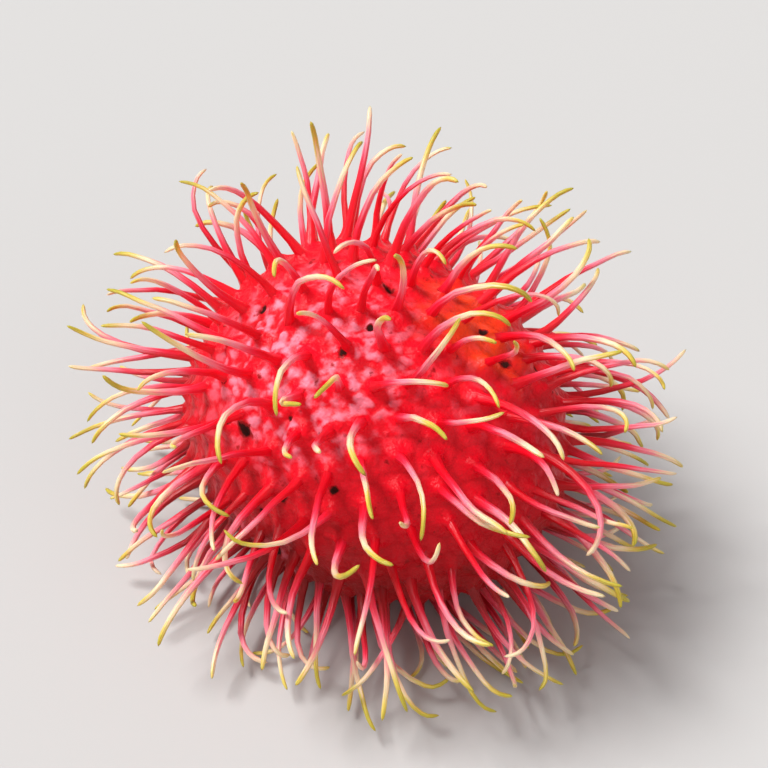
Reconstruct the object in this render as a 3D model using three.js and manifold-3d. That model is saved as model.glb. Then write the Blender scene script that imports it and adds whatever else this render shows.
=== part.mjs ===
// A rambutan as picked, lying on its side. Two pieces:
//   fruit       the leathery ovoid rind, with the soft curved spines that grow out of it
//   stalk_scar  the corky button that is left where the stalk broke off
// Millimetres, +Z up. The stalk axis lies along X, with the stalk end at +X. The origin is on the
// surface that the fruit lies on, under the middle of the whole fruit, spine tips included.
import * as THREE from 'three';
import { ConvexHull } from 'three/addons/math/ConvexHull.js';
import { mergeGeometries, mergeVertices } from 'three/addons/utils/BufferGeometryUtils.js';
import Module from 'manifold-3d';

// Rind: an ovoid, a little wider towards the stalk, pressed flat where it lies.
const rindHalf = new THREE.Vector3(22, 19, 18.5);
const rindTaper = 0.05;
const rindSwell = 0.35;
const flatDepth = 0.7;
const rindCentre = new THREE.Vector3(1.02, -0.3, rindHalf.z - flatDepth);

// Spines: roots on a spiral lattice over the whole rind. Each spine is drawn again, a little calmer
// each time, until it keeps clear of the spines that stand already.
const rootCount = 350;
const rootScatter = 0.022;
const growthTries = 30;
const growthClear = 0.25;
const growthSeed = 20731;
const spineLength = { least: 11.5, spread: 4.5 };
const spineRadius = 0.7;
const tipShare = 0.36;
const foot = { radius: 0.35, fade: 0.8 };
const lean = new THREE.Vector3(-0.1, 0, -0.16);
const leanScatter = 0.52;
const bend = { least: 0.2, spread: 0.75 };
const hook = { least: 0.15, spread: 1.7 };
const twistSpread = 1.6;
const sharpestTurn = 0.75;
const pathSteps = 12;
const lowestRoot = 0.3;
const settleLength = 12;
const sunkBelow = 3;

// Each spine is a three-sided cone, a little fatter than a round one so that it looks as thick. Its
// rings stand at these steps of its line, from its foot on the rind to its tip.
const spineSides = 3;
const facetGrowth = 1.25;
const ringSteps = [0, 1, 4, 7, 10, 12];

// Stalk scar: a corky button with a broken hollow in its face, let into the rind.
const scarRadius = 3.1;
const scarRoot = 1.5;
const scarRise = 1.7;
const scarLip = 0.5;
const scarHollow = { radius: 1.3, depth: 0.9 };
const scarSides = 16;
const scarClear = 0.3;
const scarBare = 4.8;

// The surface that the fruit lies on is the top of this block.
const groundSide = 200;
const groundDepth = 60;

// Repeatable random numbers from 0 to 1.
function seededDraws(seed) {
  let state = seed;
  return () => {
    state = (state * 16807) % 2147483647;
    return state / 2147483647;
  };
}

function randomOffset(draw) {
  return new THREE.Vector3(draw() - 0.5, draw() - 0.5, draw() - 0.5);
}

// The rind's surface, as a point for each unit vector out of its middle.
function rindPoint(unit) {
  const width = 1 + rindTaper * unit.x;
  const swell = rindSwell * Math.sin(4.2 * unit.x + 1.3) * Math.cos(3.4 * unit.y - 2.6 * unit.z + 0.5);
  return new THREE.Vector3(unit.x, unit.y * width, unit.z * width)
    .multiply(rindHalf)
    .addScaledVector(rindNormal(unit), swell)
    .add(rindCentre);
}

// The outward normal there, of the plain ovoid.
function rindNormal(unit) {
  const width = 1 + rindTaper * unit.x;
  const across = unit.y ** 2 + unit.z ** 2;
  return new THREE.Vector3(
    (unit.x - (across * rindTaper) / width) / rindHalf.x,
    unit.y / width / rindHalf.y,
    unit.z / width / rindHalf.z,
  ).normalize();
}

// A spine's radius at a height above the rind: a wide foot, then an even taper.
function spineRadiusAt(height, length) {
  const shaft = spineRadius * (1 - ((1 - tipShare) * height) / length);
  return shaft + foot.radius * Math.exp(-height / foot.fade);
}

// The line that a spine follows from the rind: it leans, bends more and more towards its tip, and
// is turned aside where it would reach below the surface that the fruit lies on. Its wildness, from
// 0 to 1, says how far it strays from a straight one.
function spineLine(unit, draw, wildness) {
  const length = spineLength.least + spineLength.spread * draw();
  const scatter = randomOffset(draw).multiplyScalar(leanScatter * wildness);
  const side = randomOffset(draw).multiplyScalar(1.6).add(lean);
  const bendBy = (bend.least + bend.spread * draw()) * wildness;
  const hookBy = (hook.least + hook.spread * draw() ** 2) * wildness;
  const twistBy = twistSpread * (draw() - 0.5);

  const start = rindNormal(unit).add(lean).add(scatter).normalize();
  side.projectOnPlane(start).normalize();
  const cross = start.clone().cross(side);
  const step = length / pathSteps;
  const points = [rindPoint(unit)];
  for (let k = 0; k < pathSteps; k++) {
    const share = (k + 0.5) / pathSteps;
    const angle = bendBy * share + hookBy * share ** 4;
    const twist = twistBy * share;
    const heading = start
      .clone()
      .multiplyScalar(Math.cos(angle))
      .addScaledVector(side, Math.sin(angle) * Math.cos(twist))
      .addScaledVector(cross, Math.sin(angle) * Math.sin(twist));
    const lowest = facetGrowth * spineRadiusAt(step * (k + 1), length);
    points.push(nextPoint(points[k], heading, step, lowest));
  }
  return { points, length };
}

// One step along a heading. The nearer it is to the ground, the more it is turned aside, outwards.
function nextPoint(from, heading, step, lowest) {
  const slope = Math.min((lowest - from.z) / settleLength, 0.7);
  if (heading.z >= slope) return from.clone().addScaledVector(heading, step);
  const outwards = new THREE.Vector3(from.x - rindCentre.x, from.y - rindCentre.y, 0).normalize();
  const along = new THREE.Vector3(heading.x, heading.y, 0).addScaledVector(outwards, 0.3).normalize();
  return from.clone().addScaledVector(along.multiplyScalar(Math.sqrt(1 - slope ** 2)).setZ(slope), step);
}

// Whether a line turns gently all along.
function isSmooth({ points }) {
  const steps = points.slice(1).map((point, k) => point.clone().sub(points[k]));
  return steps.slice(1).every((step, k) => step.angleTo(steps[k]) < sharpestTurn);
}

// Whether a line keeps clear of the lines that stand already, each as thick as its spine.
function isClear({ points, length }, standing) {
  return standing.every((other) => {
    if (points[0].distanceTo(other.points[0]) > length + other.length) return true;
    return points.every((point, k) =>
      other.points.every((otherPoint, m) => {
        if (k === 0 || m === 0) return true;
        const near = spineRadiusAt((length * k) / pathSteps, length);
        const otherNear = spineRadiusAt((other.length * m) / pathSteps, other.length);
        return point.distanceTo(otherPoint) > facetGrowth * (near + otherNear) + growthClear;
      }),
    );
  });
}

// Which way each root faces: a spiral lattice round the stalk axis, a little scattered.
function rootDirections(draw) {
  const goldenAngle = Math.PI * (3 - Math.sqrt(5));
  return Array.from({ length: rootCount }, (_, i) => {
    const along = 1 - (2 * i + 1) / rootCount;
    const out = Math.sqrt(1 - along ** 2);
    return new THREE.Vector3(along, out * Math.cos(i * goldenAngle), out * Math.sin(i * goldenAngle))
      .addScaledVector(randomOffset(draw), 2 * rootScatter)
      .normalize();
  });
}

// Whether a spine can grow at a place on the rind: not on the flat, and not round the stalk scar.
function isFertile(at) {
  const onScar = at.x > rindCentre.x && Math.hypot(at.y - rindCentre.y, at.z - rindCentre.z) < scarBare;
  return at.z > lowestRoot && !onScar;
}

// Every root on the rind: which way it faces, and the line of its spine where one grows.
function growRoots() {
  const draw = seededDraws(growthSeed);
  const roots = [];
  for (const unit of rootDirections(draw)) {
    const standing = roots.filter(({ line }) => line).map(({ line }) => line);
    let line = null;
    for (let t = 0; t < growthTries && !line && isFertile(rindPoint(unit)); t++) {
      const tried = spineLine(unit, draw, 1 - t / growthTries);
      if (isSmooth(tried) && isClear(tried, standing)) line = tried;
    }
    roots.push({ unit, line });
  }
  return roots;
}

// The rings of a spine, each a list of corners. The first is its foot, drawn on the rind. A spine
// low under the fruit is sunk in the rind instead, because it lies close along it.
function spineRings({ unit, line: { points, length } }) {
  const normal = rindNormal(unit);
  const sunk = points[0].z < sunkBelow;
  const stepLength = length / pathSteps;
  let sideways = new THREE.Vector3(0.31, 0.57, 0.76).projectOnPlane(normal).normalize();
  const rings = ringSteps.map((step) => {
    if (step === pathSteps) return Array(spineSides).fill(points[step]);
    const heading = step ? points[step + 1].clone().sub(points[step - 1]).normalize() : normal;
    sideways = sideways.clone().projectOnPlane(heading).normalize();
    const cross = heading.clone().cross(sideways);
    return Array.from({ length: spineSides }, (_, corner) => {
      const angle = (2 * Math.PI * corner) / spineSides;
      const out = sideways.clone().multiplyScalar(Math.cos(angle)).addScaledVector(cross, Math.sin(angle));
      out.multiplyScalar(facetGrowth * spineRadiusAt(stepLength * step, length));
      if (step || sunk) return out.addScaledVector(normal, step ? 0 : -stepLength).add(points[step]);
      return rindPoint(out.divide(rindHalf).add(unit).normalize());
    });
  });
  return { rings, sunk };
}

// An open cone moved onto those rings. A sunk one is closed by its first ring.
function spineGeometry({ rings, sunk }) {
  const cone = new THREE.ConeGeometry(1, 1, spineSides, rings.length - 1, true);
  const place = cone.getAttribute('position');
  for (let i = 0; i < place.count; i++) {
    const ring = rings.length - 1 - Math.floor(i / (spineSides + 1));
    place.setXYZ(i, ...rings[ring][(i % (spineSides + 1)) % spineSides]);
  }
  const last = place.count - 1;
  if (sunk) cone.setIndex([...cone.index.array, last - 1, last - 2, last - 3]);
  return cone;
}

// The rind: faces over corners that all lie on it, with a gap where each spine's foot is drawn.
function rindGeometry(roots, spines) {
  const feet = spines.filter(({ sunk }) => !sunk).map(({ rings: [foot] }) => foot);
  const plain = roots.filter(({ unit, line }) => !line || rindPoint(unit).z < sunkBelow);
  const corners = [...feet.flat(), ...plain.map(({ unit }) => rindPoint(unit))];
  const spread = corners.map((corner) => corner.clone().sub(rindCentre).divide(rindHalf).normalize());
  const place = [];
  for (const { edge } of new ConvexHull().setFromPoints(spread).faces) {
    const [a, b, c] = [edge, edge.next, edge.prev].map(({ vertex }) => spread.indexOf(vertex.point));
    const footOf = (corner) => (corner < spineSides * feet.length ? Math.floor(corner / spineSides) : NaN);
    if (footOf(a) === footOf(b) && footOf(b) === footOf(c)) continue;
    for (const corner of [a, b, c]) place.push(...corners[corner]);
  }
  return new THREE.BufferGeometry().setAttribute('position', new THREE.Float32BufferAttribute(place, 3));
}

// Profile of the corky button from its root up over its lip and down into the broken hollow.
function scarGeometry() {
  const profile = [
    new THREE.Vector2(0, -scarRoot),
    new THREE.Vector2(scarRadius * 0.86, -scarRoot),
    new THREE.Vector2(scarRadius, -scarRoot * 0.3),
    new THREE.Vector2(scarRadius, scarRise - scarLip),
    new THREE.Vector2(scarRadius - scarLip, scarRise),
    new THREE.Vector2(scarHollow.radius + scarLip, scarRise - scarLip * 0.3),
    new THREE.Vector2(scarHollow.radius, scarRise - scarHollow.depth),
    new THREE.Vector2(0, scarRise - scarHollow.depth * 1.2),
  ];
  return new THREE.LatheGeometry(profile, scarSides);
}

// The socket in the rind that the button sits in, a little larger all round.
function socketGeometry() {
  const radius = scarRadius + scarClear;
  const bottom = -(scarRoot + scarClear);
  const height = scarRise - bottom;
  return new THREE.CylinderGeometry(radius, radius, height, scarSides).translate(0, bottom + height / 2, 0);
}

// Turns a shape made round +Y so that it stands on the rind's stalk end, round the stalk axis.
function ontoStalkEnd(geometry) {
  return geometry.rotateZ(-Math.PI / 2).translate(rindCentre.x + rindHalf.x, rindCentre.y, rindCentre.z);
}

const wasm = await Module();
wasm.setup();

// A solid whose surface is made of these geometries, sewn together where their corners meet.
function toSolid(...geometries) {
  const loose = geometries.map((geometry) => {
    const bare = geometry.index ? geometry.toNonIndexed() : geometry.clone();
    bare.deleteAttribute('normal');
    bare.deleteAttribute('uv');
    return bare;
  });
  const merged = mergeVertices(mergeGeometries(loose), 1e-5);
  return new wasm.Manifold(
    new wasm.Mesh({
      numProp: 3,
      vertProperties: new Float32Array(merged.getAttribute('position').array),
      triVerts: new Uint32Array(merged.index.array),
    }),
  );
}

function toGeometry(solid) {
  const { numProp, vertProperties, triVerts } = solid.getMesh();
  const place = vertProperties.filter((_, i) => i % numProp < 3);
  const geometry = new THREE.BufferGeometry();
  geometry.setAttribute('position', new THREE.BufferAttribute(place, 3));
  geometry.setIndex(new THREE.BufferAttribute(triVerts, 1));
  geometry.computeVertexNormals();
  return geometry;
}

const roots = growRoots();
const spines = roots.filter(({ line }) => line).map(spineRings);
const grown = spines.filter(({ sunk }) => !sunk).map(spineGeometry);
const ground = new THREE.BoxGeometry(groundSide, groundSide, groundDepth).translate(0, 0, -groundDepth / 2);
let fruitSolid = toSolid(rindGeometry(roots, spines), ...grown);
for (const spine of spines) if (spine.sunk) fruitSolid = fruitSolid.add(toSolid(spineGeometry(spine)));
fruitSolid = fruitSolid.subtract(toSolid(ontoStalkEnd(socketGeometry()))).subtract(toSolid(ground));

const fruit = new THREE.Mesh(
  toGeometry(fruitSolid),
  new THREE.MeshStandardMaterial({ color: 0xd8203a, roughness: 0.45, metalness: 0 }),
);
fruit.name = 'fruit';

const stalkScar = new THREE.Mesh(
  ontoStalkEnd(scarGeometry()),
  new THREE.MeshStandardMaterial({ color: 0x8a6a3c, roughness: 0.85, metalness: 0 }),
);
stalkScar.name = 'stalk_scar';

const rambutan = new THREE.Group();
rambutan.add(fruit, stalkScar);
export default rambutan;
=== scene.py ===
"""A ripe rambutan lying on its side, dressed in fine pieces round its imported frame.

The rind and the spines stand for one node of the frame, and the stalk scar for another. The spines
grow by the frame's own rule, so each lies where its plain one does. The rule and the sizes of the
pieces are in millimetres; meshes, materials and the studio are in metres.
"""

import logging
import math
from dataclasses import dataclass, field
from enum import Enum

import bpy
import numpy as np
from bpy.types import ID, ColorRamp, Material, Mesh, NodeSocket, NodeTree, Object
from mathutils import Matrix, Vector, noise
from mathutils.kdtree import KDTree

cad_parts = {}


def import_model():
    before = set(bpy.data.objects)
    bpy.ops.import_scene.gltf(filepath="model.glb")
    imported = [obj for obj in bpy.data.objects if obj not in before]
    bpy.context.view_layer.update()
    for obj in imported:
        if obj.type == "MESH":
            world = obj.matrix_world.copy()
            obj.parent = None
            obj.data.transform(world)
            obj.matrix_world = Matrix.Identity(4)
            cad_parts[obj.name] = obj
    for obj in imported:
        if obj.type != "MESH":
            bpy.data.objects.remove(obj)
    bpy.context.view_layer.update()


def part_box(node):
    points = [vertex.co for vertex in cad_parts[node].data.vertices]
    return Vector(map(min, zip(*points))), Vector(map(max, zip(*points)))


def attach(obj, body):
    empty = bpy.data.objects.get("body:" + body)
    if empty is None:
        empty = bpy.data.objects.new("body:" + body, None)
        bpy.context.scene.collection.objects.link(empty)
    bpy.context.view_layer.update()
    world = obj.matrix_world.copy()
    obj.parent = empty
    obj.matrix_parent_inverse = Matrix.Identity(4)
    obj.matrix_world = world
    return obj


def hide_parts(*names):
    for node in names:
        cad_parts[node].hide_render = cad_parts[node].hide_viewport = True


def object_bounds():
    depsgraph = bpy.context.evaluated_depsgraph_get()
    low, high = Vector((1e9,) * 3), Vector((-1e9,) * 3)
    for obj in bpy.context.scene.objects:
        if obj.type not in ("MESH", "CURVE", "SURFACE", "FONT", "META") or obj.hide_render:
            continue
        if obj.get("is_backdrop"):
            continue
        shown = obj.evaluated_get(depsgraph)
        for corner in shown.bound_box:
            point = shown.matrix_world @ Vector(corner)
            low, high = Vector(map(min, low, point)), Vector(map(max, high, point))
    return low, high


MILLIMETRE = 0.001
TINY = 1e-9
NOISE_SEED = 4127
LOG = logging.getLogger("rambutan")

Array = np.ndarray
Pair = tuple[float, float]
Triple = tuple[float, float, float]
Colour = Triple
Stops = tuple[tuple[float, Colour], ...]


class Slot(Enum):
    """Material slots of the record."""

    RIND = "rind"
    CORK = "stalk_cork"


class Node(Enum):
    """Nodes of the frame."""

    FRUIT = "fruit"
    SCAR = "stalk_scar"


class Coat(Enum):
    """Names of the values that the pieces carry for their finishes."""

    GROOVE = "groove"
    SWELL = "swell"
    PIT = "pit"
    ALONG = "along"
    TEMPER = "temper"
    AGE = "age"
    GRAIN = "grain"


# Numbers


@dataclass
class Draws:
    """Repeatable random numbers from 0 to 1. Their state starts as a seed, from 1 up."""

    state: int

    def number(self) -> float:
        """Return the next number from 0 to 1."""
        self.state = (self.state * 16807) % 2147483647
        return self.state / 2147483647

    def offset(self) -> Array:
        """Return a point of the unit cube round the origin."""
        return np.array([self.number(), self.number(), self.number()]) - 0.5


def unit_of(vectors: Array) -> Array:
    """Return one vector, or one a row, at length 1."""
    return vectors / np.linalg.norm(vectors, axis=-1, keepdims=True)


def square_to(vectors: Array, normals: Array) -> Array:
    """Return what is left of each vector across its unit normal, at length 1."""
    return unit_of(vectors - np.sum(vectors * normals, axis=-1, keepdims=True) * normals)


@dataclass(frozen=True)
class Ripple:
    """Smooth noise: how far it reaches, how wide its swells are and where it starts."""

    reach: float
    size: float
    start: float = 0.0

    def at(self, places: Array) -> Array:
        """Return a vector for each place, from minus to plus the reach along each axis."""
        spots = (places + self.start) / self.size
        return self.reach * np.array([noise.noise_vector(spot) for spot in spots])


def turns_of(places: Array) -> Array:
    """Return the angle in radians at each place of a line but its first and last."""
    steps = unit_of(np.diff(places, axis=0))
    return np.arccos(np.clip(np.sum(steps[1:] * steps[:-1], axis=1), -1.0, 1.0))


def bell(values: Array, width: float) -> Array:
    """Return a bell curve of values: 1 at 0, and nearly 0 past twice its width."""
    return np.exp(-((values / width) ** 2))


def ease(low: float, high: float, values: Array) -> Array:
    """Return a smooth step of values, from 0 at low to 1 at high."""
    share = np.clip((values - low) / (high - low), 0.0, 1.0)
    return share * share * (3.0 - 2.0 * share)


# The form of the fruit, in millimetres


@dataclass(frozen=True)
class RindForm:
    """The ovoid that the rind follows, as a place for each unit vector out of its middle."""

    half: Triple = (22.0, 19.0, 18.5)
    taper: float = 0.05
    swell: float = 0.35
    waves: Triple = (4.2, 3.4, -2.6)
    phases: Pair = (1.3, 0.5)
    flat_depth: float = 0.7
    middle: Pair = (1.02, -0.3)

    @property
    def centre(self) -> Array:
        """Return the middle of the ovoid."""
        return np.array([*self.middle, self.half[2] - self.flat_depth])

    def normals(self, units: Array) -> Array:
        """Find the outward normals of the plain ovoid.

        Args:
            units: Unit vectors, one a row.

        Returns:
            A unit normal for each.
        """
        x, y, z = units[..., 0], units[..., 1], units[..., 2]
        width = 1.0 + self.taper * x
        across = y**2 + z**2
        parts = (x - across * self.taper / width, y / width, z / width)
        return unit_of(np.stack(parts, axis=-1) / np.array(self.half))

    def places(self, units: Array) -> Array:
        """Find the surface of the rind without its relief.

        Args:
            units: Unit vectors, one a row.

        Returns:
            A place on the rind for each.
        """
        x, y, z = units[..., 0], units[..., 1], units[..., 2]
        width = 1.0 + self.taper * x
        wave_x, wave_y, wave_z = self.waves
        swell = self.swell * np.sin(wave_x * x + self.phases[0])
        swell = swell * np.cos(wave_y * y + wave_z * z + self.phases[1])
        plain = np.stack((x, y * width, z * width), axis=-1) * np.array(self.half)
        return plain + self.normals(units) * swell[..., None] + self.centre


@dataclass
class Root:
    """A place on the rind where a spine can grow, and the line of the one that did."""

    unit: Array
    line: Array | None = None
    length: float = 0.0

    @property
    def step(self) -> Array:
        """Return the first step of its spine, or zeros where none grew."""
        return np.zeros(3) if self.line is None else self.line[1] - self.line[0]


@dataclass
class Growth:
    """The rule that the spines grow by. It is the frame's rule, number for number."""

    rind: RindForm = field(default_factory=RindForm)
    count: int = 350
    scatter: float = 0.022
    tries: int = 30
    clear: float = 0.25
    seed: int = 20731
    length: Pair = (11.5, 4.5)
    radius: float = 0.7
    tip_share: float = 0.36
    foot: Pair = (0.35, 0.8)
    lean: Triple = (-0.1, 0.0, -0.16)
    lean_scatter: float = 0.52
    side_spread: float = 1.6
    bend: Pair = (0.2, 0.75)
    hook: Pair = (0.15, 1.7)
    twist: float = 1.6
    sharpest_turn: float = 0.75
    steps: int = 12
    lowest_root: float = 0.3
    settle: float = 12.0
    steepest: float = 0.7
    outward: float = 0.3
    facet_growth: float = 1.25
    scar_bare: float = 4.8

    def radius_at(self, height: Array | float, length: Array | float) -> Array:
        """Return the radius at a height along a spine: a wide foot, then an even taper."""
        shaft = self.radius * (1.0 - (1.0 - self.tip_share) * height / length)
        return shaft + self.foot[0] * np.exp(-height / self.foot[1])

    def directions(self, draws: Draws) -> Array:
        """Lay out which way each root faces.

        Args:
            draws: The random numbers.

        Returns:
            Unit vectors of a spiral lattice round the stalk axis, a little scattered.
        """
        golden = math.pi * (3.0 - math.sqrt(5.0))
        units = []
        for i in range(self.count):
            along = 1.0 - (2 * i + 1) / self.count
            out = math.sqrt(1.0 - along**2)
            lattice = np.array([along, out * math.cos(i * golden), out * math.sin(i * golden)])
            units.append(unit_of(lattice + draws.offset() * 2 * self.scatter))
        return np.array(units)

    def is_fertile(self, place: Array) -> bool:
        """Say whether a spine can grow at a place: not on the flat or round the stalk scar."""
        x, y, z = place - self.rind.centre
        return bool(place[2] > self.lowest_root and (x <= 0 or math.hypot(y, z) >= self.scar_bare))

    def try_line(self, unit: Array, draws: Draws, wildness: float) -> tuple[Array, float]:
        """Draw the line of a spine.

        Args:
            unit: Which way its root faces.
            draws: The random numbers.
            wildness: From 0 to 1, how far it strays from a straight one.

        Returns:
            The places along it, one a row, and its length.
        """
        length = self.length[0] + self.length[1] * draws.number()
        scatter = draws.offset() * (self.lean_scatter * wildness)
        side = draws.offset() * self.side_spread + np.array(self.lean)
        bend = (self.bend[0] + self.bend[1] * draws.number()) * wildness
        hook = (self.hook[0] + self.hook[1] * draws.number() ** 2) * wildness
        twist = self.twist * (draws.number() - 0.5)
        start = unit_of(self.rind.normals(unit) + np.array(self.lean) + scatter)
        side = square_to(side, start)
        cross = np.cross(start, side)
        step = length / self.steps
        places = [self.rind.places(unit)]
        for k in range(self.steps):
            share = (k + 0.5) / self.steps
            angle = bend * share + hook * share**4
            turn = twist * share
            heading = (
                start * math.cos(angle)
                + side * (math.sin(angle) * math.cos(turn))
                + cross * (math.sin(angle) * math.sin(turn))
            )
            lowest = self.facet_growth * self.radius_at(step * (k + 1), length)
            places.append(self.next_place(places[k], heading, step, lowest))
        return np.array(places), length

    def next_place(self, place: Array, heading: Array, step: float, lowest: float) -> Array:
        """Take one step, turned aside the more the nearer it is to the ground.

        Args:
            place: Where the step starts.
            heading: Where it would go, as a unit vector.
            step: How long it is.
            lowest: How low the spine's middle may lie.

        Returns:
            Where the step ends.
        """
        slope = min((lowest - place[2]) / self.settle, self.steepest)
        if heading[2] >= slope:
            return place + heading * step
        level = np.array([1.0, 1.0, 0.0])
        outwards = unit_of((place - self.rind.centre) * level)
        along = unit_of(heading * level + outwards * self.outward) * math.sqrt(1 - slope**2)
        return place + np.array([along[0], along[1], slope]) * step

    def is_clear(self, places: Array, length: float, standing: list[Root]) -> bool:
        """Say whether a line keeps clear of the others.

        Args:
            places: The places along it.
            length: Its length.
            standing: The roots whose spines stand already, at least one.

        Returns:
            True where none comes too near.
        """
        steps = np.arange(1, self.steps + 1)
        others = np.array([root.line for root in standing])
        lengths = np.array([root.length for root in standing])
        reach = np.linalg.norm(others[:, 0] - places[0], axis=1) <= lengths + length
        others, lengths = others[reach], lengths[reach]
        own = self.radius_at(length * steps / self.steps, length)
        heights = lengths[:, None] * steps / self.steps
        others_own = self.radius_at(heights, lengths[:, None])
        gaps = np.linalg.norm(others[:, None, 1:] - places[None, 1:, None], axis=-1)
        needed = self.facet_growth * (own[None, :, None] + others_own[:, None, :]) + self.clear
        return bool((gaps > needed).all())

    def grow(self) -> list[Root]:
        """Grow the spines.

        Returns:
            Every root, each with the line of its spine where one grows.
        """
        draws = Draws(self.seed)
        roots: list[Root] = []
        standing: list[Root] = []
        for unit in self.directions(draws):
            root = Root(unit)
            fertile = self.is_fertile(self.rind.places(unit))
            for t in range(self.tries if fertile else 0):
                places, length = self.try_line(unit, draws, 1.0 - t / self.tries)
                gentle = (turns_of(places) < self.sharpest_turn).all()
                if gentle and (not standing or self.is_clear(places, length, standing)):
                    root.line, root.length = places, length
                    standing.append(root)
                    break
            roots.append(root)
        return roots


# Materials, in metres. A noise is its scale and its detail, and an edge is where it starts and ends


@dataclass(frozen=True)
class Value:
    """An output of a node of a tree, wrapped so that shader maths reads as an expression."""

    nodes: "Nodes"
    socket: NodeSocket

    def _math(self, operation: str, *values: "Value | float") -> "Value":
        """Return the result of a Math node."""
        return self.nodes.node("Math", dict(enumerate(values)), operation=operation)

    def __add__(self, other: "Value | float") -> "Value":
        """Return self + other."""
        return self._math("ADD", self, other)

    __radd__ = __add__

    def __sub__(self, other: "Value | float") -> "Value":
        """Return self - other."""
        return self._math("SUBTRACT", self, other)

    def __rsub__(self, other: "Value | float") -> "Value":
        """Return other - self."""
        return self._math("SUBTRACT", other, self)

    def __mul__(self, other: "Value | float") -> "Value":
        """Return self times other."""
        return self._math("MULTIPLY", self, other)

    __rmul__ = __mul__

    def __truediv__(self, other: "Value | float") -> "Value":
        """Return self over other."""
        return self._math("DIVIDE", self, other)

    def at_most(self, other: "Value | float") -> "Value":
        """Return the lower of the two."""
        return self._math("MINIMUM", self, other)

    def eased(self, low: float, high: float) -> "Value":
        """Return a smooth step, from 0 at low to 1 at high."""
        sockets = {"Value": self, 1: low, 2: high}
        return self.nodes.node("MapRange", sockets, interpolation_type="SMOOTHSTEP")


@dataclass
class Nodes:
    """A node tree, and the one way in which nodes are added to it."""

    tree: NodeTree

    def node(self, kind: str, sockets: dict, out: int | str = 0, **settings: object) -> Value:
        """Add a node.

        Args:
            kind: Its type, without ShaderNode.
            sockets: Its inputs, by name or number, each a value, a link or a colour.
            out: Which output is wanted.
            settings: Its own settings, or its ramp's, which are set first.

        Returns:
            That output.
        """
        made = self.tree.nodes.new("ShaderNode" + kind)
        holder = made.color_ramp if kind == "ValToRGB" else made
        for key, setting in settings.items():
            if key == "stops":
                self._fill_ramp(holder, setting)
            else:
                setattr(holder, key, setting)
        for key, value in sockets.items():
            self.feed(made.inputs[key], value)
        return Value(self, made.outputs[out])

    def _fill_ramp(self, ramp: ColorRamp, stops: Stops) -> None:
        """Give a ramp its stops.

        Args:
            ramp: The ramp.
            stops: A place from 0 to 1 and a colour for each, in order.
        """
        while len(ramp.elements) < len(stops):
            ramp.elements.new(1.0)
        for element, (place, colour) in zip(ramp.elements, stops):
            element.position, element.color = place, (*colour, 1.0)

    def feed(self, socket: NodeSocket, value: "Value | float | tuple") -> None:
        """Link a value to an input, or set it there.

        Args:
            socket: The input.
            value: A link, a number, a vector or a colour.
        """
        if isinstance(value, Value):
            self.tree.links.new(value.socket, socket)
        elif isinstance(value, tuple) and socket.type == "RGBA":
            socket.default_value = (*value, 1.0)
        else:
            socket.default_value = value

    def ramp(self, place: Value, stops: Stops, interpolation: str = "EASE") -> Value:
        """Return the colour at a place, from 0 to 1, on a ramp with these stops."""
        return self.node("ValToRGB", {0: place}, stops=stops, interpolation=interpolation)


class Shader(Nodes):
    """A material, and the nodes that make it."""

    def __init__(self, name: str) -> None:
        """Make a material with nothing but its Principled shader.

        Args:
            name: The name of the material.
        """
        self.material = bpy.data.materials.new(name)
        self.material.use_nodes = True
        super().__init__(self.material.node_tree)

    def carried(self, coat: Coat, out: str = "Fac") -> Value:
        """Return a value that the mesh carries."""
        return self.node("Attribute", {}, out, attribute_name=coat.value)

    def place(self) -> Value:
        """Return the place on the object, in metres."""
        return self.node("TexCoord", {}, "Object")

    def stretched(self, scale: Triple = (1.0, 1.0, 1.0)) -> Value:
        """Return the place on the object, stretched by a scale along each axis."""
        return self.node("Mapping", {"Vector": self.place(), "Scale": scale})

    def noise(self, scale: float, detail: float, place: Value | None = None) -> Value:
        """Return noise round 0.5. The scale is in blobs a metre, the detail in finer layers."""
        sockets = {"Vector": place or self.stretched(), "Scale": scale, "Detail": detail}
        return self.node("TexNoise", sockets)

    def distance(self, middle: Triple) -> Value:
        """Return how far the place on the object is from a point, in metres."""
        sockets = {0: self.place(), 1: middle}
        return self.node("VectorMath", sockets, "Value", operation="DISTANCE")

    def height(self) -> Value:
        """Return how high the place on the object is, in metres."""
        return self.node("SeparateXYZ", {0: self.place()}, "Z")

    def mix(self, share: "Value | float", low: "Value | Colour", high: "Value | Colour") -> Value:
        """Return a blend of two colours, which is the second where the share is 1."""
        return self.node("Mix", {0: share, 6: low, 7: high}, 2, data_type="RGBA")

    def bump(self, height: Value, distance: float) -> Value:
        """Return a normal bent by a height, as a share of a distance in metres."""
        return self.node("Bump", {"Height": height, "Distance": distance})

    def finish(self, **sockets: "Value | float | tuple") -> Material:
        """Feed the Principled shader.

        Args:
            sockets: Its inputs, with _ in place of a space.

        Returns:
            The finished material.
        """
        surface = self.tree.nodes["Principled BSDF"]
        for key, value in sockets.items():
            self.feed(surface.inputs[key.replace("_", " ")], value)
        return self.material


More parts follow.
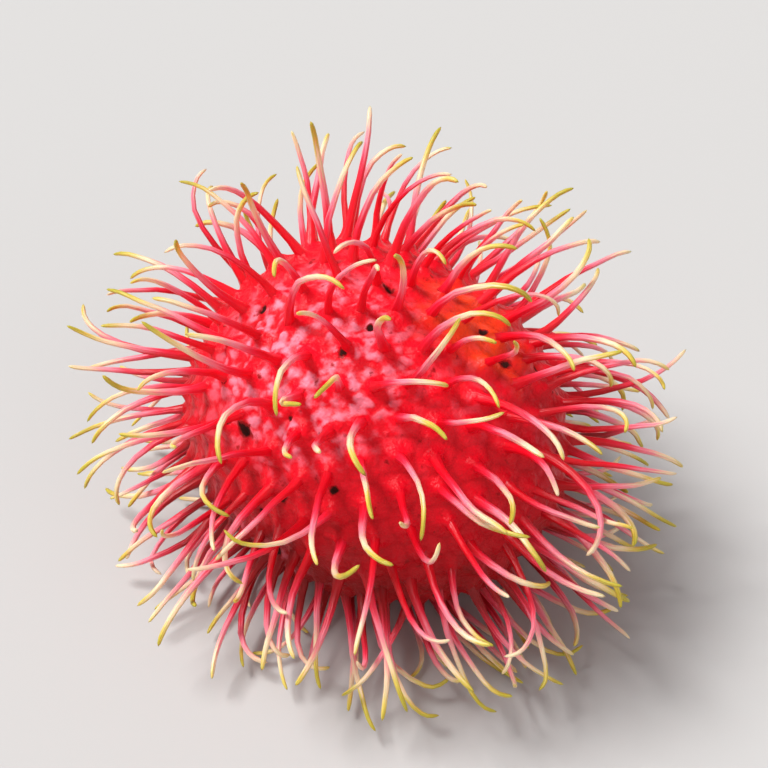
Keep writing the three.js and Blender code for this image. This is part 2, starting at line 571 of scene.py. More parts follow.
@dataclass(frozen=True)
class Flesh:
    """The mottled crimson that the rind shares with the feet of its spines, darkened low down by
    painted shade.
    """

    crimson: Colour = (0.88, 0.003, 0.018)
    deep: Colour = (0.27, 0.001, 0.002)
    # Heights in metres over which the painted shade of the lower half fades out upwards.
    painted_shade: Pair = (0.008, 0.033)
    painted_shade_share: float = 0.85
    mottle: Pair = (90.0, 3.0)
    mottle_edge: Pair = (0.48, 0.72)
    mottle_share: float = 0.4

    def mottled(self, skin: Shader) -> Value:
        """Colour the flesh by the place on the fruit alone, darker towards the bottom with painted
        shade.

        Args:
            skin: The material that it is for.

        Returns:
            The colour.
        """
        mottle = skin.noise(*self.mottle).eased(*self.mottle_edge) * self.mottle_share
        # Mostly painted shade, partly a deeper red of the fruit's own: the flesh darkens towards
        # the bottom.
        painted_shade = (1.0 - skin.height().eased(*self.painted_shade)) * self.painted_shade_share
        return skin.mix((mottle + painted_shade).at_most(1.0), self.crimson, self.deep)


@dataclass(frozen=True)
class Blush:
    """A ragged patch of another colour round a place, in metres."""

    colour: Colour
    middle: Triple
    size: float
    raggedness: float
    edge: Pair
    share: float

    def over(self, skin: Shader, body: Value, ragged: Value) -> Value:
        """Lay the patch over a skin.

        Args:
            skin: The material.
            body: The colour that it covers.
            ragged: The noise of its edge.

        Returns:
            The colour.
        """
        away = skin.distance(self.middle) / self.size + ragged * self.raggedness
        return skin.mix((1.0 - away.eased(*self.edge)) * self.share, body, self.colour)


@dataclass(frozen=True)
class RindSkin:
    """Crimson, leathery skin with blushes and pits, a pale pink painted highlight on its pimples
    and painted shade in its furrows.
    """

    flesh: Flesh
    # Dark red of the painted shade in the furrows, also used for the bruised halo round each pit.
    furrow: Colour = (0.34, 0.001, 0.003)
    # Pale pink of the painted highlight on the pimples.
    painted_highlight: Colour = (0.98, 0.260, 0.360)
    pit: Colour = (0.035, 0.006, 0.004)
    orange: Blush = Blush(
        (0.95, 0.078, 0.006), (-0.0074, -0.0067, 0.0342), 0.0075, 1.6, (1.0, 2.0), 0.68
    )
    straw: Blush = Blush(
        (0.80, 0.230, 0.020), (0.0235, -0.0003, 0.0178), 0.0050, 0.9, (1.0, 1.9), 0.55
    )
    # Where the painted highlight is strongest: round the place on the rind that faces the key
    # light, in metres.
    painted_highlight_middle: Triple = (0.0030, 0.0096, 0.0336)
    painted_highlight_size: float = 0.0130
    painted_highlight_edge: Pair = (0.5, 1.15)
    painted_highlight_clouds: float = 1.2
    painted_highlight_tops: Pair = (0.24, 0.62)
    stray_highlight_edge: Pair = (0.50, 0.70)
    stray_highlight_share: float = 0.25
    furrow_shade_share: float = 0.35
    hurt_raggedness: float = 1.4
    hurt_edge: Pair = (0.25, 0.50)
    pit_edge: Pair = (0.48, 0.72)
    ragged: Pair = (300.0, 3.0)
    clouds: Pair = (650.0, 4.0)
    drift: Pair = (60.0, 2.0)
    mottle: Pair = (900.0, 4.0)
    grain: Pair = (2600.0, 3.0)
    roughness: float = 0.24
    bumpiness: float = 0.0004

    def make(self) -> Material:
        """Mix the finish.

        Returns:
            The material.
        """
        skin = Shader("rind_skin")
        groove = skin.carried(Coat.GROOVE)
        swell = skin.carried(Coat.SWELL)
        ragged = skin.noise(*self.ragged)
        clouds = skin.noise(*self.clouds)
        drift = skin.noise(*self.drift)
        mottle = skin.noise(*self.mottle)
        grain = skin.noise(*self.grain)
        # Painted highlight: pale pink on the pimple tops, strongest round the place where the key
        # light glints, and in stray patches elsewhere.
        away = skin.distance(self.painted_highlight_middle) / self.painted_highlight_size
        near = 1.0 - away.eased(*self.painted_highlight_edge)
        tops = (swell + (clouds - 0.5) * self.painted_highlight_clouds).eased(*self.painted_highlight_tops)
        pale = tops * (near + drift.eased(*self.stray_highlight_edge) * self.stray_highlight_share).at_most(1.0)
        body = skin.mix(pale, self.flesh.mottled(skin), self.painted_highlight)
        for blush in (self.orange, self.straw):
            body = blush.over(skin, body, ragged)
        # Painted shade: darker in the furrows and valleys between the knobs.
        body = skin.mix(groove * self.furrow_shade_share, body, self.furrow)
        hurt = skin.carried(Coat.PIT) + (mottle - 0.5) * self.hurt_raggedness
        hurt += (clouds - 0.5) * self.hurt_raggedness
        body = skin.mix(hurt.eased(*self.hurt_edge), body, self.furrow)
        pit = hurt.eased(*self.pit_edge)
        body = skin.mix(pit, body, self.pit)
        rough = self.roughness + mottle * 0.2 + groove * 0.2 + pit * 0.4
        return skin.finish(
            Base_Color=body,
            Roughness=rough.at_most(0.95),
            Normal=skin.bump(mottle * 0.7 + grain * 0.3, self.bumpiness),
            Specular_IOR_Level=0.17,
            Subsurface_Weight=0.08,
            Subsurface_Radius=(0.0012, 0.0003, 0.0002),
            Subsurface_Scale=1.0,
        )


@dataclass(frozen=True)
class SpineSkin:
    """Soft spine: crimson at its foot, then pink and cream, to a yellow-green hooked tip."""

    flesh: Flesh
    pink: Colour = (0.95, 0.036, 0.095)
    blush: Colour = (0.97, 0.230, 0.300)
    cream: Colour = (0.95, 0.670, 0.430)
    lime: Colour = (0.72, 0.530, 0.095)
    green: Colour = (0.48, 0.400, 0.038)
    dry: Colour = (0.12, 0.055, 0.020)
    streaks: Pair = (1.6, 3.0)
    streakiness: float = 0.4
    blots: Pair = (600.0, 2.0)
    mean_temper: float = 0.6
    temper_reach: float = 0.42
    flesh_edge: Pair = (0.14, 0.48)
    dry_age: float = 0.3
    dry_edge: Pair = (1.26, 1.31)
    roughness: float = 0.26
    bumpiness: float = 0.00018

    def make(self) -> Material:
        """Mix the finish.

        Returns:
            The material.
        """
        skin = Shader("spine_skin")
        along = skin.carried(Coat.ALONG)
        temper = skin.carried(Coat.TEMPER)
        age = skin.carried(Coat.AGE)
        streaks = skin.noise(*self.streaks, skin.carried(Coat.GRAIN, "Vector"))
        blots = skin.noise(*self.blots)
        reach = along + (temper - self.mean_temper) * self.temper_reach
        reach += (streaks - 0.5) * self.streakiness
        low = ((0.0, self.pink), (0.32, self.pink), (0.52, self.blush))
        stops = (*low, (0.75, self.cream), (0.91, self.lime), (1.0, self.green))
        share = reach.eased(*self.flesh_edge)
        body = skin.mix(share, self.flesh.mottled(skin), skin.ramp(reach, stops))
        body = skin.mix((along + age * self.dry_age).eased(*self.dry_edge), body, self.dry)
        return skin.finish(
            Base_Color=body,
            Roughness=self.roughness + blots * 0.20,
            Normal=skin.bump(streaks, self.bumpiness),
            Specular_IOR_Level=0.38,
            Subsurface_Weight=0.30,
            Subsurface_Radius=(0.002, 0.0006, 0.0004),
            Subsurface_Scale=1.0,
        )


@dataclass(frozen=True)
class CorkSkin:
    """Dry, fibrous cork, paler on its rim and nearly black in its broken hollow."""

    tan: Colour = (0.42, 0.26, 0.10)
    olive: Colour = (0.20, 0.15, 0.05)
    dark: Colour = (0.040, 0.024, 0.014)
    blots: Pair = (420.0, 4.0)
    blot_edge: Pair = (0.35, 0.65)
    fibres: Pair = (1400.0, 5.0)
    fibre_stretch: Triple = (0.3, 1.0, 1.0)
    fibre_edge: Pair = (0.48, 0.66)
    fibre_share: float = 0.7
    hollow_raggedness: float = 0.6
    hollow_edge: Pair = (0.2, 0.8)
    hollow_share: float = 0.92
    roughness: float = 0.92
    bumpiness: float = 0.0005

    def make(self) -> Material:
        """Mix the finish.

        Returns:
            The material.
        """
        cork = Shader("stalk_cork_skin")
        depth = cork.carried(Coat.GROOVE)
        fibres = cork.noise(*self.fibres, cork.stretched(self.fibre_stretch))
        blots = cork.noise(*self.blots)
        hollow = (depth + (fibres - 0.5) * self.hollow_raggedness).eased(*self.hollow_edge)
        body = cork.mix(blots.eased(*self.blot_edge), self.tan, self.olive)
        body = cork.mix(fibres.eased(*self.fibre_edge) * self.fibre_share, body, self.dark)
        body = cork.mix(hollow * self.hollow_share, body, self.dark)
        return cork.finish(
            Base_Color=body,
            Roughness=self.roughness - blots * 0.15,
            Normal=cork.bump(fibres, self.bumpiness),
        )


@dataclass(frozen=True)
class FloorSkin:
    """Pale, matt studio floor."""

    white: Colour = (0.49, 0.48, 0.47)

    def make(self) -> Material:
        """Return the material."""
        return Shader("floor_skin").finish(Base_Color=self.white, Roughness=0.8)


# Meshes


def deselect() -> None:
    """Leave object mode's selection empty."""
    bpy.ops.object.select_all(action="DESELECT")


def named(name: str) -> Object:
    """Name the active object and its mesh, and return it."""
    bpy.context.object.name = bpy.context.object.data.name = name
    return bpy.context.object


def start_shaping() -> None:
    """Go to edit mode with all of the new primitive selected."""
    bpy.ops.object.mode_set(mode="EDIT")
    bpy.ops.mesh.select_all(action="SELECT")


def draw_up(rise: float) -> None:
    """Extrude what is selected upwards."""
    bpy.ops.mesh.extrude_region_move(TRANSFORM_OT_translate={"value": (0, 0, rise)})


def end_shaping(close: bool = False) -> None:
    """Leave edit mode.

    Args:
        close: Whether what is selected is first closed in a point, with all faces outwards.
    """
    if close:
        bpy.ops.mesh.merge(type="CENTER")
        bpy.ops.mesh.select_all(action="SELECT")
        bpy.ops.mesh.normals_make_consistent(inside=False)
    bpy.ops.object.mode_set(mode="OBJECT")


def read_places(mesh: Mesh) -> Array:
    """Read the vertices of a mesh.

    Args:
        mesh: The mesh.

    Returns:
        Their places, one a row.
    """
    places = np.empty(len(mesh.vertices) * 3)
    mesh.vertices.foreach_get("co", places)
    return places.reshape(-1, 3)


def write_places(mesh: Mesh, places: Array) -> None:
    """Move the vertices of a mesh to other places, one a row."""
    mesh.vertices.foreach_set("co", places.astype(np.float32).ravel())
    mesh.update()


def write_coat(mesh: Mesh, coat: Coat, values: Array) -> None:
    """Give a mesh a number or a vector at each vertex.

    Args:
        mesh: The mesh.
        coat: Which one.
        values: One for each vertex.
    """
    kind, key = ("FLOAT", "value") if values.ndim == 1 else ("FLOAT_VECTOR", "vector")
    layer = mesh.attributes.new(coat.value, kind, "POINT")
    layer.data.foreach_set(key, values.astype(np.float32).ravel())


def hold(piece: Object, skin: Material, node: Node, degrees: float) -> None:
    """Finish a piece, and let it ride on the fruit in place of a node.

    Args:
        piece: The piece.
        skin: Its material.
        node: The node that it stands for.
        degrees: The angle past which an edge looks sharp.
    """
    deselect()
    piece.select_set(True)
    bpy.context.view_layer.objects.active = piece
    bpy.ops.object.shade_smooth_by_angle(angle=math.radians(degrees))
    piece.data.materials.clear()
    piece.data.materials.append(skin)
    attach(piece, "root")
    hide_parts(node.value)
    LOG.info("%s: %d faces", piece.name, len(piece.data.polygons))


@dataclass
class Rind:
    """The rind, with a knob under every root, soft furrows between them and a few dark pits."""

    form: RindForm
    roots: list[Root]
    skin: RindSkin
    cuts: tuple[int, int] = (31, 3)
    nearest: int = 5
    plate_height: float = 0.42
    plate_width: float = 1.50
    plate_level: float = 0.45
    groove_depth: float = 0.08
    groove_width: float = 0.36
    valley_width: float = 1.44
    waver: Ripple = Ripple(0.55, 2.2)
    wrinkle: Ripple = Ripple(0.06, 0.60)
    pimple_height: float = 0.44
    pimple_apart: float = 1.35
    pimple_width: float = 0.42
    pimple_warp: Ripple = Ripple(0.55, 1.3, 31.0)
    least_pimple: float = 0.35
    pimply_place: Triple = (0.5, 9.5, 34.0)
    pimply_size: float = 14.0
    pimply_edge: Pair = (0.6, 1.2)
    plain_share: float = 0.25
    knob_height: float = 0.75
    knob_width: float = 0.80
    bare_knob: float = 0.3
    pit_depth: float = 0.35
    pits: tuple[tuple[float, float, float, float], ...] = (
        (11.3, 6.6, 33.1, 0.55), (1.2, -2.2, 36.0, 0.65), (-1.1, 3.3, 35.8, 0.45),
        (-1.0, 7.3, 34.8, 0.65), (9.7, 13.5, 28.7, 0.55), (7.2, 15.9, 26.2, 0.45),
        (4.8, 16.2, 26.3, 0.90), (0.2, 14.1, 29.9, 0.45), (-6.9, 15.3, 25.4, 0.50),
        (-1.8, 17.7, 22.0, 0.75), (0.9, 18.4, 18.4, 0.55), (-8.4, -6.1, 33.3, 0.55),
        (-12.0, -5.5, 31.6, 0.85),
    )
    more_pits: int = 26
    more_radius: Pair = (0.4, 0.4)
    more_side: Pair = (0.1, -0.2)
    pit_edge: float = 1.6
    seed: int = 6007
    dimple_depth: float = 1.5
    dimple_radius: float = 3.2
    dimple_wall: Pair = (-0.5, 0.2)
    collar_height: float = 0.45
    collar_out: float = 0.7
    collar_width: float = 0.5

    def build(self) -> None:
        """Build the finished piece."""
        piece = self.model_ball()
        units = unit_of(np.tan(read_places(piece.data) * (math.pi / 4)))
        plain = self.form.places(units)
        groove, swell, relief = self.relief(plain)
        pit = self.pitting(plain)
        relief += self.dimple(plain) - self.pit_depth * pit
        places = plain + self.form.normals(units) * relief[:, None]
        places[:, 2] = np.maximum(places[:, 2], 0.0)
        write_places(piece.data, places * MILLIMETRE)
        for coat, values in ((Coat.GROOVE, groove), (Coat.SWELL, swell), (Coat.PIT, pit)):
            write_coat(piece.data, coat, values)
        hold(piece, self.skin.make(), Node.FRUIT, 180.0)

    def model_ball(self) -> Object:
        """Model a cube of even faces, which swells into a ball without poles.

        Returns:
            The cube, of side 2.
        """
        deselect()
        bpy.ops.mesh.primitive_cube_add(size=2.0)
        start_shaping()
        for cuts in self.cuts:
            bpy.ops.mesh.subdivide(number_cuts=cuts)
        end_shaping()
        return named("rind")

    def relief(self, places: Array) -> tuple[Array, Array, Array]:
        """Work out how far the knobs and furrows stand off the plain rind.

        Args:
            places: Places on the rind, one a row.

        Returns:
            How deep in a furrow each place is, how high on a pimple, and how high in all.
        """
        feet = self.form.places(np.array([root.unit for root in self.roots]))
        tree = KDTree(len(feet))
        for i, foot in enumerate(feet):
            tree.insert(foot, i)
        tree.balance()
        near = np.array([[found[1] for found in tree.find_n(at, self.nearest)] for at in places])
        off = places[:, None] - feet[near]
        plate = np.sum(bell(np.linalg.norm(off, axis=2), self.plate_width), axis=1)
        knob = self.knobs(off, near)
        gap = self.gaps(off, places)
        groove = bell(gap, self.groove_width)
        open_rind = np.clip(1.0 - knob, 0.0, 1.0)
        pimples = self.pimples(places)
        relief = self.plate_height * (plate - self.plate_level) + self.knob_height * knob
        relief += self.wrinkle.at(places)[:, 0] * open_rind - self.groove_depth * groove
        relief += self.pimple_height * pimples * open_rind * self.pimply(places)
        swell = (self.plain_share + (1.0 - self.plain_share) * pimples) * open_rind
        return (groove + bell(gap, self.valley_width)) / 2, swell, relief

    def knobs(self, off: Array, near: Array) -> Array:
        """Raise a knob at every root. It leans along the rind as its spine's first step does.

        Args:
            off: How each place lies from its nearest roots.
            near: The numbers of those roots.

        Returns:
            A number from 0 to about 1 for each place.
        """
        heights = np.array([self.bare_knob if root.line is None else 1.0 for root in self.roots])
        steps = np.array([root.step for root in self.roots])
        normals = self.form.normals(np.array([root.unit for root in self.roots]))
        lean = (steps - normals * np.sum(steps * normals, axis=1, keepdims=True))[near]
        length = np.maximum(np.sum(lean * lean, axis=2), TINY)
        share = np.clip(np.sum(off * lean, axis=2) / length, 0.0, 1.0)
        reach = np.linalg.norm(off - lean * share[:, :, None], axis=2)
        return np.sum(bell(reach, self.knob_width) * heights[near], axis=1)

    def gaps(self, off: Array, places: Array) -> Array:
        """Return how much nearer its first root than its second a place is: 0 in a furrow."""
        away = np.sort(np.linalg.norm(off + self.waver.at(places)[:, None], axis=2), axis=1)
        return away[:, 1] - away[:, 0]

    def pimples(self, places: Array) -> Array:
        """Scatter the pimples, one to a cell.

        Args:
            places: Places on the rind, one a row.

        Returns:
            How high on a pimple each place is, from 0 to 1.
        """
        warped = places + self.pimple_warp.at(places)
        found = [noise.voronoi(place) for place in warped / self.pimple_apart]
        away = np.array([distances[0] for distances, _ in found])
        cells = np.array([abs(noise.cell(points[0])) for _, points in found])
        heights = self.least_pimple + (1.0 - self.least_pimple) * cells
        return bell(away, self.pimple_width) * heights

    def pimply(self, places: Array) -> Array:
        """Return how much the pimples of each place stand out, from the plain share to 1."""
        away = np.linalg.norm(places - np.array(self.pimply_place), axis=1) / self.pimply_size
        return self.plain_share + (1.0 - self.plain_share) * (1.0 - ease(*self.pimply_edge, away))

    def pitting(self, places: Array) -> Array:
        """Sink the pits: those that are listed, and more on the other side.

        Args:
            places: Places on the rind, one a row.

        Returns:
            How deep in a pit each place is, from 0 to 1.
        """
        draws = Draws(self.seed)
        pits = list(self.pits)
        while len(pits) < len(self.pits) + self.more_pits:
            unit = unit_of(draws.offset())
            radius = self.more_radius[0] + self.more_radius[1] * draws.number() ** 2
            if unit[1] < self.more_side[0] or unit[2] < self.more_side[1]:
                pits.append((*self.form.places(unit), radius))
        depth = np.zeros(len(places))
        for *middle, radius in pits:
            away = np.linalg.norm(places - middle, axis=1)
            depth = np.maximum(depth, 1.0 - ease(0.0, self.pit_edge * radius, away))
        return depth

    def dimple(self, places: Array) -> Array:
        """Sink the hollow that the stalk scar sits in, and raise a collar round it.

        Args:
            places: Places on the rind, one a row.

        Returns:
            How far each place moves outwards.
        """
        off = places - self.form.centre
        radius = np.hypot(off[:, 1], off[:, 2])
        hollow = 1.0 - ease(*(self.dimple_radius + wall for wall in self.dimple_wall), radius)
        collar = bell(radius - self.dimple_radius - self.collar_out, self.collar_width)
        rise = self.collar_height * collar - self.dimple_depth * hollow
        return np.where(off[:, 0] > 0, rise, 0.0)


@dataclass
class Spines:
    """The soft spines, one master bent along the line of every root."""

    growth: Growth
    roots: list[Root]
    skin: SpineSkin
    sides: int = 6
    stations: tuple[float, ...] = (
        -0.8, 0.25, 0.8, 1.7, 3.2, 4.8, 6.4, 7.8, 9.0, 10.1, 11.1, 11.75, 12.0
    )
    girth: Pair = (0.46, 0.23)
    foot: Pair = (0.42, 0.90)
    sways: tuple[Ripple, ...] = (Ripple(0.22, 4.5), Ripple(0.07, 2.6))
    sway_in: float = 3.0
    stoutness: Pair = (0.84, 0.34)
    sideways: Triple = (0.31, 0.57, 0.76)
    crowding: float = 6.0
    fineness: int = 120
    tip_start: float = 11.5
    tip_round: float = 0.72
    grain_stretch: float = 0.12
    grain_scatter: float = 100.0
    seed: int = 977

    def build(self) -> None:
        """Build the finished piece, with the spines joined in the order that they grew."""
        master = self.model_master()
        pattern = read_places(master.data)
        draws = Draws(self.seed)
        low, high = (np.array(corner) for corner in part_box(Node.FRUIT.value))
        deselect()
        for root in (root for root in self.roots if root.line is not None):
            copy = bpy.data.objects.new("spine", master.data.copy())
            bpy.context.collection.objects.link(copy)
            rings = self.rings(root)
            stoutness = self.stoutness[0] + self.stoutness[1] * draws.number()
            places = self.bend(pattern, root, rings, stoutness) * MILLIMETRE
            write_places(copy.data, np.clip(places, low, high))
            self.coat(copy.data, pattern, rings, draws)
            copy.select_set(True)
        bpy.data.objects.remove(master)
        bpy.context.view_layer.objects.active = bpy.context.selected_objects[0]
        bpy.ops.object.join()
        hold(named("spines"), self.skin.make(), Node.FRUIT, 75.0)

    def coat(self, mesh: Mesh, pattern: Array, rings: Array, draws: Draws) -> None:
        """Give a spine what its finish reads.

        Args:
            mesh: The spine.
            pattern: The vertices of the master.
            rings: How many steps along each ring goes.
            draws: The random numbers.
        """
        along = np.interp(pattern[:, 2], self.stations, rings)
        write_coat(mesh, Coat.ALONG, np.maximum(along, 0.0) / self.growth.steps)
        for coat in (Coat.TEMPER, Coat.AGE):
            write_coat(mesh, coat, np.full(len(pattern), draws.number()))
        grain = pattern * [1.0, 1.0, self.grain_stretch] + draws.offset() * self.grain_scatter
        write_coat(mesh, Coat.GRAIN, grain)

    def model_master(self) -> Object:
        """Model one straight spine, with a ring at every station and a closed tip.

        Returns:
            The spine, of radius 1.
        """
        deselect()
        bpy.ops.mesh.primitive_circle_add(vertices=self.sides, radius=1.0, fill_type="NGON")
        start_shaping()
        bpy.ops.transform.translate(value=(0, 0, self.stations[0]))
        for below, above in zip(self.stations, self.stations[1:]):
            draw_up(above - below)
        end_shaping(close=True)
        return named("spine_master")

    def rings(self, root: Root) -> Array:
        """Crowd the rings of a spine where it bends.

        Args:
            root: The root, with its line.

        Returns:
            How many steps along each ring goes. Those of the foot and the tip stay.
        """
        turns = turns_of(root.line)
        fine = np.linspace(self.stations[2], self.stations[-2], self.fineness)
        crowd = 1.0 + self.crowding * np.interp(fine, np.arange(1, len(turns) + 1), turns)
        reached = np.cumsum(crowd) - crowd[0]
        reached = fine[0] + (fine[-1] - fine[0]) * reached / reached[-1]
        inner = np.interp(self.stations[3:-2], reached, fine)
        return np.array([*self.stations[:3], *inner, *self.stations[-2:]])

    def bend(self, pattern: Array, root: Root, rings: Array, stoutness: float) -> Array:
        """Bend the master along a spine's line.

        Args:
            pattern: The vertices of the master.
            root: The root, with its line.
            rings: How many steps along each ring goes.
            stoutness: How thick it is, as a share.

        Returns:
            Where each vertex goes, in millimetres.
        """
        places = np.zeros_like(pattern)
        paths = [self.along(root, steps) for steps in rings]
        middles = np.array([middle for middle, _ in paths])
        sways = sum(sway.at(middles) for sway in self.sways)
        sideways = square_to(np.array(self.sideways), self.growth.rind.normals(root.unit))
        for station, steps, (middle, heading), sway in zip(self.stations, rings, paths, sways):
            ring = np.isclose(pattern[:, 2], station, atol=1e-4)
            middle = middle + sway * min(max(steps, 0.0) / self.sway_in, 1.0)
            sideways = square_to(sideways, heading)
            cross = np.cross(heading, sideways)
            radius = self.radius(root, steps) * stoutness
            x, y = pattern[ring, 0:1], pattern[ring, 1:2]
            places[ring] = middle + (x * sideways + y * cross) * radius
        return places

    def radius(self, root: Root, steps: float) -> float:
        """Work out the radius of a spine, with a rounded tip.

        Args:
            root: Its root.
            steps: How many steps along.

        Returns:
            The radius in millimetres.
        """
        share = max(steps, 0.0) / self.growth.steps
        shaft = self.girth[0] + (self.girth[1] - self.girth[0]) * share
        foot = self.foot[0] * math.exp(-share * root.length / self.foot[1])
        return (shaft + foot) * (self.tip_round if steps > self.tip_start else 1.0)

    def along(self, root: Root, steps: float) -> tuple[Array, Array]:
        """Follow a spine's line smoothly.

        Args:
            root: The root, with its line.
            steps: How many steps along, below 0 in the rind.

        Returns:
            The place there and the heading.
        """
        line = root.line
        knots = np.vstack([2 * line[0] - line[1], line, 2 * line[-1] - line[-2]])
        k = int(min(max(math.floor(steps), 0), len(line) - 2))
        share = steps - k
        a, b, c, d = knots[k : k + 4]
        if steps < 0:
            return b + (c - b) * steps, unit_of(c - b)
        pull = (2 * a - 5 * b + 4 * c - d, -a + 3 * b - 3 * c + d)
        place = 0.5 * (2 * b + (c - a) * share + pull[0] * share**2 + pull[1] * share**3)
        slope = 0.5 * ((c - a) + 2 * pull[0] * share + 3 * pull[1] * share**2)
        return place, unit_of(slope)


@dataclass
class StalkScar:
    """The corky button that is left where the stalk broke off.

    A step of its profile is a share of its radius and of its height. Each kind of wear has how far
    it moves the cork: upwards in millimetres, and outwards as a share.
    """

    skin: CorkSkin
    sides: int = 48
    profile: tuple[Pair, ...] = (
        (0.86, 0.0), (1.00, 0.22), (1.00, 0.70), (0.97, 0.90), (0.86, 1.00),
        (0.68, 0.97), (0.54, 0.89), (0.42, 0.78), (0.26, 0.72), (0.10, 0.70),
    )
    rounding: int = 2
    worn_from: Pair = (0.45, 0.85)
    swell: Ripple = Ripple(1.0, 1.6)
    swell_moves: Pair = (0.45, 0.16)
    swell_turns: float = 2.4
    swell_out: float = 0.8
    blank_middle: float = 0.25
    crack: Ripple = Ripple(3.0, 0.55, 7.0)
    crack_from: Pair = (0.30, 0.55)
    crack_moves: Pair = (0.38, 0.05)
    crumb: Ripple = Ripple(1.0, 0.5)
    crumb_moves: Pair = (0.22, 0.03)
    pith: Ripple = Ripple(2.0, 0.7, 3.0)
    pith_width: float = 0.22
    pith_height: float = 0.45
    slimness: float = 0.95
    hollow_edge: Pair = (0.28, 0.60)
    pith_pale: float = 0.6
    crack_dark: float = 0.8

    def build(self) -> None:
        """Build the finished piece."""
        low, high = (np.array(corner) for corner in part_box(Node.SCAR.value))
        radius, rise = (high[1] - low[1]) / 2, high[0] - low[0]
        piece = self.model_button(radius, rise)
        self.weather(piece.data, radius, rise)
        middle = (low + high) / 2
        x, y, z = read_places(piece.data).T
        turned = np.stack((z + low[0], y + middle[1], -x + middle[2]), axis=1)
        write_places(piece.data, np.clip(turned, low, high))
        hold(piece, self.skin.make(), Node.SCAR, 60.0)

    def model_button(self, radius: float, rise: float) -> Object:
        """Model the button.

        Args:
            radius: Its radius.
            rise: Its height.

        Returns:
            The button, standing up round Z and rounded.
        """
        deselect()
        bpy.ops.mesh.primitive_circle_add(vertices=self.sides, radius=radius, fill_type="NGON")
        start_shaping()
        share_now, height_now = 1.0, 0.0
        for share, height in self.profile:
            draw_up((height - height_now) * rise)
            bpy.ops.transform.resize(value=(share / share_now, share / share_now, 1))
            share_now, height_now = share, height
        end_shaping(close=True)
        piece = named("stalk_scar_cork")
        modifier = piece.modifiers.new("round", "SUBSURF")
        modifier.levels = modifier.render_levels = self.rounding
        bpy.ops.object.modifier_apply(modifier=modifier.name)
        return piece

    def weather(self, mesh: Mesh, radius: float, rise: float) -> None:
        """Crack, tear and roughen the button.

        Args:
            mesh: The button, standing up round Z.
            radius: Its radius.
            rise: Its height.
        """
        places = read_places(mesh)
        spots = places / MILLIMETRE
        turn = np.arctan2(places[:, 1], places[:, 0])
        out = np.hypot(places[:, 0], places[:, 1]) / radius
        top = ease(*self.worn_from, places[:, 2] / rise)
        reach = self.swell_turns * ease(0.0, self.blank_middle, out)
        around = (np.cos(turn) * reach, np.sin(turn) * reach, out * self.swell_out)
        around = np.stack(around, axis=1)
        swells = self.swell.at(around)[:, 0]
        cracks = np.clip(1.0 - np.abs(self.crack.at(around)[:, 1]), 0.0, 1.0) ** 2
        cracks = cracks * ease(*self.crack_from, out)
        crumbs = self.crumb.at(spots)[:, 2]
        pith = bell(out, self.pith_width) * (1.0 + self.pith.at(spots)[:, 0])
        lift = swells * self.swell_moves[0] + crumbs * self.crumb_moves[0]
        lift = lift - cracks * self.crack_moves[0] + pith * self.pith_height
        places[:, 2] += lift * top * MILLIMETRE
        spread = self.slimness + self.swell_moves[1] * swells * top
        spread = spread - self.crack_moves[1] * cracks + self.crumb_moves[1] * crumbs
        places[:, :2] *= spread[:, None]
        write_places(mesh, places)
        hollow = 1.0 - ease(*self.hollow_edge, out)
        hollow = hollow * (1.0 - self.pith_pale * np.clip(pith, 0.0, 1.0))
        write_coat(mesh, Coat.GROOVE, np.clip(hollow + self.crack_dark * cracks, 0.0, 1.0) * top)


@dataclass(frozen=True)
class Sun:
    """A soft, far light: where it hangs, in degrees from the camera, how soft and how strong."""

    name: str
    turn: float
    rise: float
    spread: float
    power: float


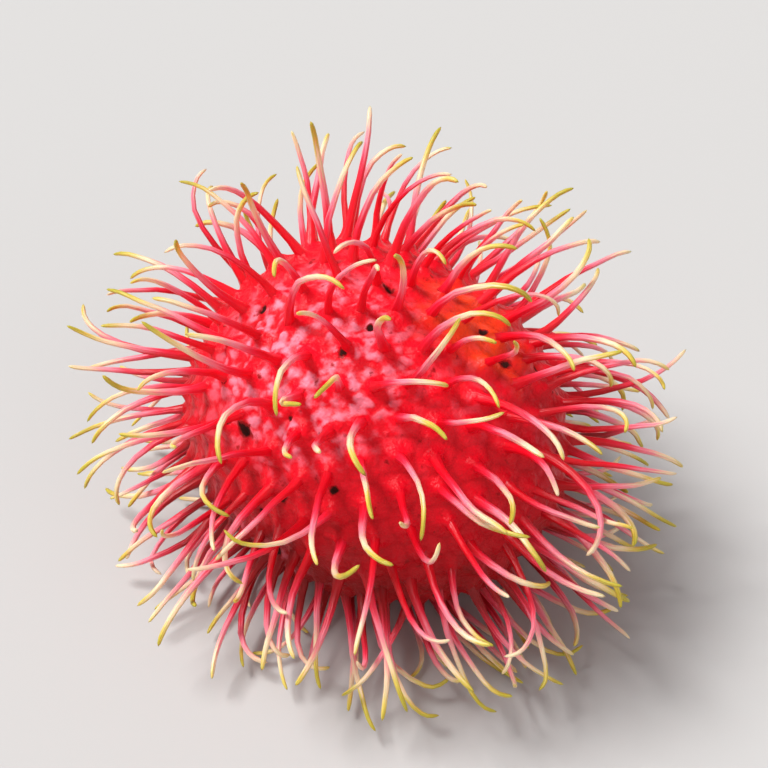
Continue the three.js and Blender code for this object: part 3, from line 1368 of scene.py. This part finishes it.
@dataclass
class Studio:
    """A pale floor, a key light to the upper left of the camera, a weak fill and a bright room."""

    skin: FloorSkin
    floor_side: float = 6.0
    floor_height: float = -0.0001
    suns: tuple[Sun, ...] = (
        Sun("key", -100.0, 60.0, 24.0, 4.1),
        Sun("fill", 40.0, 30.0, 60.0, 0.5),
    )
    room: Stops = ((0.0, (0.68, 0.67, 0.66)), (0.6, (0.30, 0.30, 0.31)))
    camera_turn: float = 222.0
    camera_rise: float = 45.0
    lens: float = 85.0
    sensor: float = 36.0
    margin: float = 1.08
    fill: float = 0.80

    def build(self) -> None:
        """Set everything round the fruit."""
        self.lay_floor()
        self.hang_suns()
        self.paint_room()
        self.aim_camera()
        bpy.context.scene.view_settings.view_transform = "Standard"

    def lay_floor(self) -> None:
        """Lay the floor that the fruit lies on."""
        deselect()
        bpy.ops.mesh.primitive_plane_add(size=self.floor_side, location=(0, 0, self.floor_height))
        floor = named("floor")
        floor.data.materials.append(self.skin.make())
        floor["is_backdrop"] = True

    def mount(self, data: ID, turn: float, rise: float, away: float) -> Object:
        """Point a light or a camera at the origin.

        Args:
            data: The light or the camera.
            turn: Its azimuth in degrees; 0 looks along +Y.
            rise: Its elevation in degrees.
            away: How far off it stands, in metres.

        Returns:
            Its object.
        """
        around, up = math.radians(turn), math.radians(rise)
        flat = math.cos(up)
        out = Vector((math.sin(around) * flat, -math.cos(around) * flat, math.sin(up)))
        holder = bpy.data.objects.new(data.name, data)
        bpy.context.collection.objects.link(holder)
        holder.location = out * away
        holder.rotation_euler = out.to_track_quat("Z", "Y").to_euler()
        return holder

    def hang_suns(self) -> None:
        """Hang the soft lights."""
        for sun in self.suns:
            lamp = bpy.data.lights.new(sun.name, "SUN")
            lamp.angle = math.radians(sun.spread)
            lamp.energy = sun.power
            self.mount(lamp, self.camera_turn + sun.turn, sun.rise, 1.0)

    def paint_room(self) -> None:
        """Surround the scene with a room that is brighter low down than overhead."""
        world = bpy.data.worlds.new("room")
        world.use_nodes = True
        nodes = Nodes(world.node_tree)
        height = nodes.node("SeparateXYZ", {0: nodes.node("TexCoord", {}, "Generated")}, "Z")
        colour = nodes.ramp(height, self.room, "LINEAR")
        nodes.feed(world.node_tree.nodes["Background"].inputs["Color"], colour)
        bpy.context.scene.world = world

    def aim_camera(self) -> None:
        """Aim the camera at the middle of the fruit, near enough for it to fill the view."""
        low, high = (Vector(corner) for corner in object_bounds())
        across = (high - low).length / math.sqrt(3) * self.margin
        camera = bpy.data.cameras.new("camera")
        camera.lens = self.lens
        camera.sensor_width = self.sensor
        distance = across / self.fill * camera.lens / camera.sensor_width
        holder = self.mount(camera, self.camera_turn, self.camera_rise, distance)
        holder.location += (low + high) / 2
        bpy.context.scene.camera = holder


def plain(box: tuple[Vector, Vector]) -> list[list[float]]:
    """Return a box as plain lists of numbers."""
    return [[float(x) for x in corner] for corner in box]


def main() -> None:
    """Build the fruit and its studio."""
    logging.basicConfig(level=logging.INFO, format="%(name)s: %(message)s")
    noise.seed_set(NOISE_SEED)
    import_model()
    Studio(FloorSkin()).build()
    growth = Growth()
    roots = growth.grow()
    LOG.info("%d spines on %d roots", sum(root.line is not None for root in roots), len(roots))
    flesh = Flesh()
    Rind(growth.rind, roots, RindSkin(flesh)).build()
    Spines(growth, roots, SpineSkin(flesh)).build()
    StalkScar(CorkSkin()).build()


if __name__ == "__main__":
    main()
